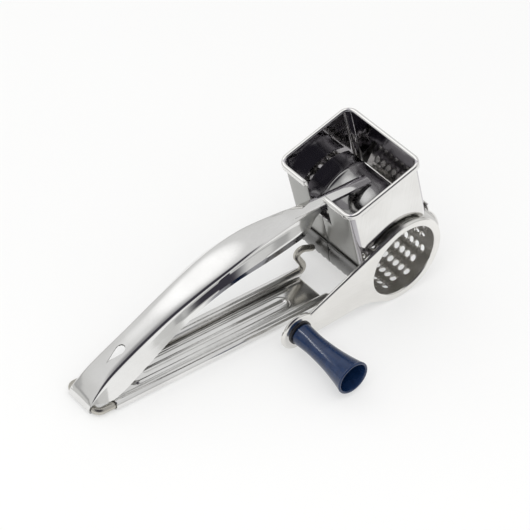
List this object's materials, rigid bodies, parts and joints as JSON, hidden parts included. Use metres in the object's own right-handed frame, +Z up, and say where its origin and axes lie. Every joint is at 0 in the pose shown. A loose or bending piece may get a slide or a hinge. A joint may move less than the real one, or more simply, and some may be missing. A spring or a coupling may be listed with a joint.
{
  "type": "rotary cheese grater",
  "caption": "Hand-held rotary grater: square hopper over a turning perforated drum, crank with a flared knob, and two squeezed handles that press the food on to the drum.",
  "frame": {"origin": "on the resting plane, at the middle of the lower handle's flat underside", "axes": "+X forward along the lower handle towards the hopper, +Z up from the resting plane, -Y towards the crank's side; the drum's axis runs along Y"},
  "size_m": [0.2152, 0.1036, 0.0888],
  "materials": {
    "polished_sheet": "mirror-polished stainless sheet",
    "drum_sheet": "bright punched stainless sheet",
    "bent_wire": "drawn wire, satin, slightly warm",
    "turned_steel": "turned, fine rings",
    "knob_plastic": "glossy moulded plastic, dark blue",
    "bush_plastic": "matt moulded plastic, natural"
  },
  "bodies": {
    "frame": {"hopper": "polished_sheet", "front_guard": "polished_sheet", "rear_guard": "polished_sheet", "near_collar": "polished_sheet", "far_side_plate": "polished_sheet", "far_bearing_bush": "bush_plastic", "handle_plate": "polished_sheet", "frame_wire": "bent_wire"},
    "crank": {"grating_drum": "drum_sheet", "crank_arm": "polished_sheet", "drum_end_disc": "drum_sheet", "drum_axle": "turned_steel", "axle_clip": "turned_steel", "knob_spindle": "turned_steel", "knob_washer": "turned_steel", "knob_end_washer": "turned_steel"},
    "knob_body": {"knob": "knob_plastic"},
    "lever": {"upper_handle": "polished_sheet", "presser_plate": "polished_sheet"}
  },
  "joints": [
    {"name": "drum_spin", "type": "hinge", "parent": "frame", "child": "crank", "pos_m": [0.1035, 0, 0.0258], "axis": [0, -1, 0], "continuous": true},
    {"name": "knob_spin", "type": "hinge", "parent": "crank", "child": "knob_body", "pos_m": [0.03259, -0.05, 0.01278], "axis": [0, -1, 0], "continuous": true},
    {"name": "lever_squeeze", "type": "hinge", "parent": "frame", "child": "lever", "pos_m": [-0.08, 0, 0.0029], "axis": [0, -1, 0], "range_deg": [-3.4, 80]}
  ]
}
